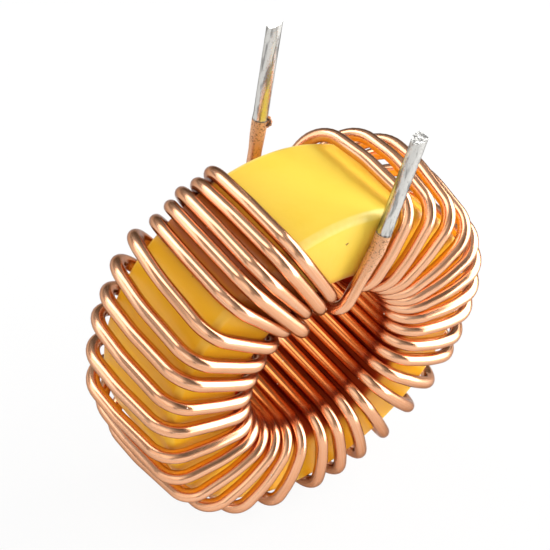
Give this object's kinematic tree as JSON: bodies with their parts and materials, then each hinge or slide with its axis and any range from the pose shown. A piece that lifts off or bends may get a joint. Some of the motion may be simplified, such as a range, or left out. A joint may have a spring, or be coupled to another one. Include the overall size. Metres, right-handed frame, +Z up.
{
  "type": "toroidal inductor",
  "caption": "Power inductor: a yellow painted powder ring wound with enamelled copper wire, its two tinned wire ends standing up as leads.",
  "frame": {"origin": "centre of the ring, half way through its height", "axes": "+Y along the ring's axis away from the front face, +Z up along the leads, +X to the right seen from the front"},
  "size_m": [0.0383, 0.0162, 0.0468],
  "materials": {
    "core_paint": "smooth glossy yellow paint over pressed iron powder",
    "enamelled_copper": "glossy clear enamel over copper, scorched near the stripped ends",
    "solder_tin": "bright tin, slightly uneven"
  },
  "bodies": {
    "root": {"core": "core_paint", "winding": "enamelled_copper", "front_tin": "solder_tin", "back_tin": "solder_tin"}
  },
  "joints": []
}
